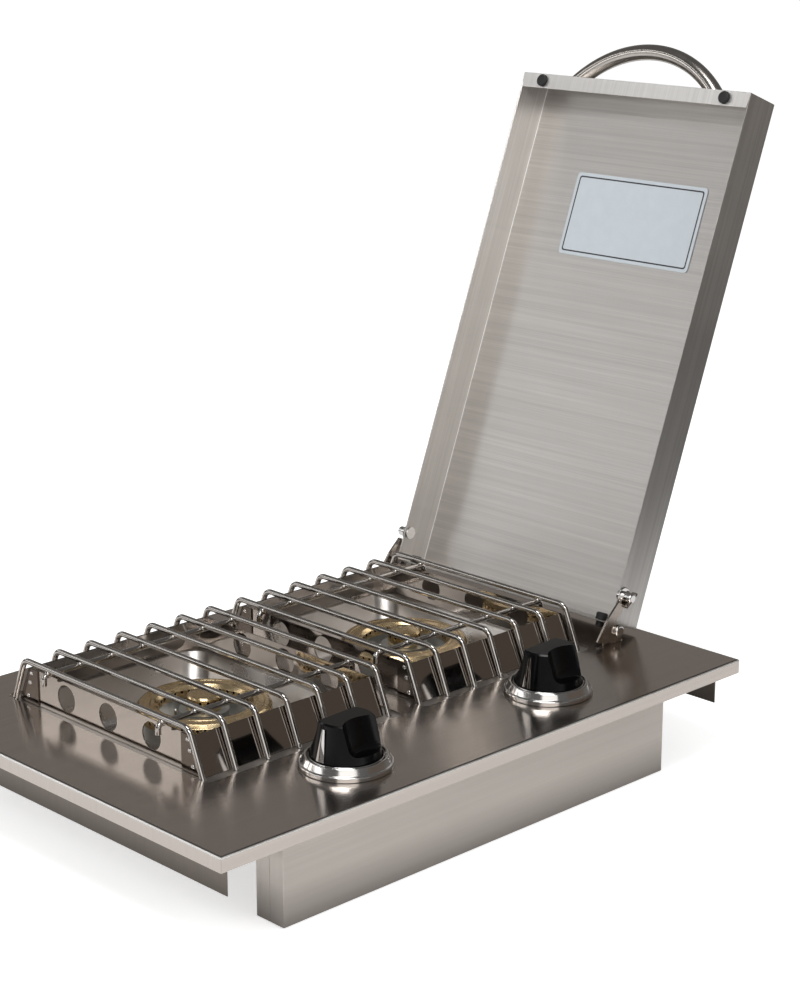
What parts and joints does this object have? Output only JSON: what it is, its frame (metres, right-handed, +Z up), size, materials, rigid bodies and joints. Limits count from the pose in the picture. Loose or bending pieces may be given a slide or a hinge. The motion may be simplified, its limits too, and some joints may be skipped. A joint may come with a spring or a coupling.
{
  "type": "built in side burner",
  "caption": "Drop-in gas side burner for an outdoor counter: steel deck with open burners in line, wire grates over polished guards, side knobs and a hinged lid with a bow handle.",
  "frame": {"origin": "middle of the deck's outline, on the plane of the counter that the deck's lip rests on", "axes": "+Z up, +Y from the handle end towards the lid's hinge, +X towards the control knobs"},
  "size_m": [0.396, 0.713, 0.5537],
  "materials": {
    "steel": "brushed, satin",
    "polished": "polished",
    "chrome": "mirror bright",
    "brass": "machined",
    "casting": "as cast",
    "black": "gloss",
    "rubber": "matt",
    "ceramic": "glazed ceramic",
    "plate": "printed aluminium, left blank"
  },
  "bodies": {
    "base": {"deck_top": "steel", "control_panel": "steel", "control_inner_panel": "steel", "front_hanging_plate": "steel", "rear_hanging_plate": "steel", "left_hanging_plate": "steel", "front_drip_pan": "polished", "rear_drip_pan": "polished", "front_burner_body": "casting", "rear_burner_body": "casting", "front_igniter_electrode": "ceramic", "rear_igniter_electrode": "ceramic", "front_gas_valve": "brass", "rear_gas_valve": "brass", "front_gas_orifice": "brass", "rear_gas_orifice": "brass", "gas_manifold": "casting", "gas_inlet_fitting": "brass", "front_knob_bezel": "chrome", "rear_knob_bezel": "chrome", "left_hinge_bracket": "steel", "right_hinge_bracket": "steel", "left_pivot_pin": "chrome", "right_pivot_pin": "chrome"},
    "lid": {"lid_shell": "steel", "lid_handle": "polished", "left_handle_bolt": "chrome", "right_handle_bolt": "chrome", "lid_instruction_plate": "plate", "left_front_bumper": "rubber", "right_front_bumper": "rubber", "left_rear_grommet": "rubber", "right_rear_grommet": "rubber", "left_lid_stud": "chrome", "right_lid_stud": "chrome"},
    "front_grate": {"front_grate_rods": "chrome", "front_grate_guard": "polished"},
    "front_ring": {"front_flame_ring": "brass"},
    "front_cap": {"front_burner_cap": "brass"},
    "front_valve_plug": {"front_valve_core": "brass"},
    "front_knob_set": {"front_knob": "black", "front_knob_ring": "chrome", "front_knob_pointer": "chrome", "front_valve_stem": "chrome"},
    "front_shutter": {"front_air_shutter": "polished"},
    "rear_grate": {"rear_grate_rods": "chrome", "rear_grate_guard": "polished"},
    "rear_ring": {"rear_flame_ring": "brass"},
    "rear_cap": {"rear_burner_cap": "brass"},
    "rear_valve_plug": {"rear_valve_core": "brass"},
    "rear_knob_set": {"rear_knob": "black", "rear_knob_ring": "chrome", "rear_knob_pointer": "chrome", "rear_valve_stem": "chrome"},
    "rear_shutter": {"rear_air_shutter": "polished"}
  },
  "joints": [
    {"name": "lid_hinge", "type": "hinge", "parent": "base", "child": "lid", "pos_m": [-0.034, 0.239, 0.0226], "axis": [-1, 0, 0], "range_deg": [-110.66, 0]},
    {"name": "front_grate_lift", "type": "slide", "parent": "base", "child": "front_grate", "axis": [0, 0, 1], "range_m": [0, 0.06]},
    {"name": "front_flame_ring_lift", "type": "slide", "parent": "base", "child": "front_ring", "axis": [0, 0, 1], "range_m": [0, 0.012]},
    {"name": "front_cap_lift", "type": "slide", "parent": "base", "child": "front_cap", "axis": [0, 0, 1], "range_m": [0, 0.012]},
    {"name": "front_valve_turn", "type": "hinge", "parent": "base", "child": "front_valve_plug", "pos_m": [0.138, -0.11, -0.042], "axis": [0, 0, 1], "range_deg": [0, 210]},
    {"name": "front_knob_push", "type": "slide", "parent": "front_valve_plug", "child": "front_knob_set", "axis": [0, 0, -1], "range_m": [0, 0.003], "stiffness_N_per_m": 1500, "springref_m": -0.004},
    {"name": "front_shutter_turn", "type": "hinge", "parent": "base", "child": "front_shutter", "pos_m": [0.104, -0.106, -0.042], "axis": [1, 0, 0], "range_deg": [0, 45]},
    {"name": "rear_grate_lift", "type": "slide", "parent": "base", "child": "rear_grate", "axis": [0, 0, 1], "range_m": [0, 0.06]},
    {"name": "rear_flame_ring_lift", "type": "slide", "parent": "base", "child": "rear_ring", "axis": [0, 0, 1], "range_m": [0, 0.012]},
    {"name": "rear_cap_lift", "type": "slide", "parent": "base", "child": "rear_cap", "axis": [0, 0, 1], "range_m": [0, 0.012]},
    {"name": "rear_valve_turn", "type": "hinge", "parent": "base", "child": "rear_valve_plug", "pos_m": [0.138, 0.11, -0.042], "axis": [0, 0, 1], "range_deg": [0, 210]},
    {"name": "rear_knob_push", "type": "slide", "parent": "rear_valve_plug", "child": "rear_knob_set", "axis": [0, 0, -1], "range_m": [0, 0.003], "stiffness_N_per_m": 1500, "springref_m": -0.004},
    {"name": "rear_shutter_turn", "type": "hinge", "parent": "base", "child": "rear_shutter", "pos_m": [0.104, 0.114, -0.042], "axis": [1, 0, 0], "range_deg": [0, 45]}
  ]
}
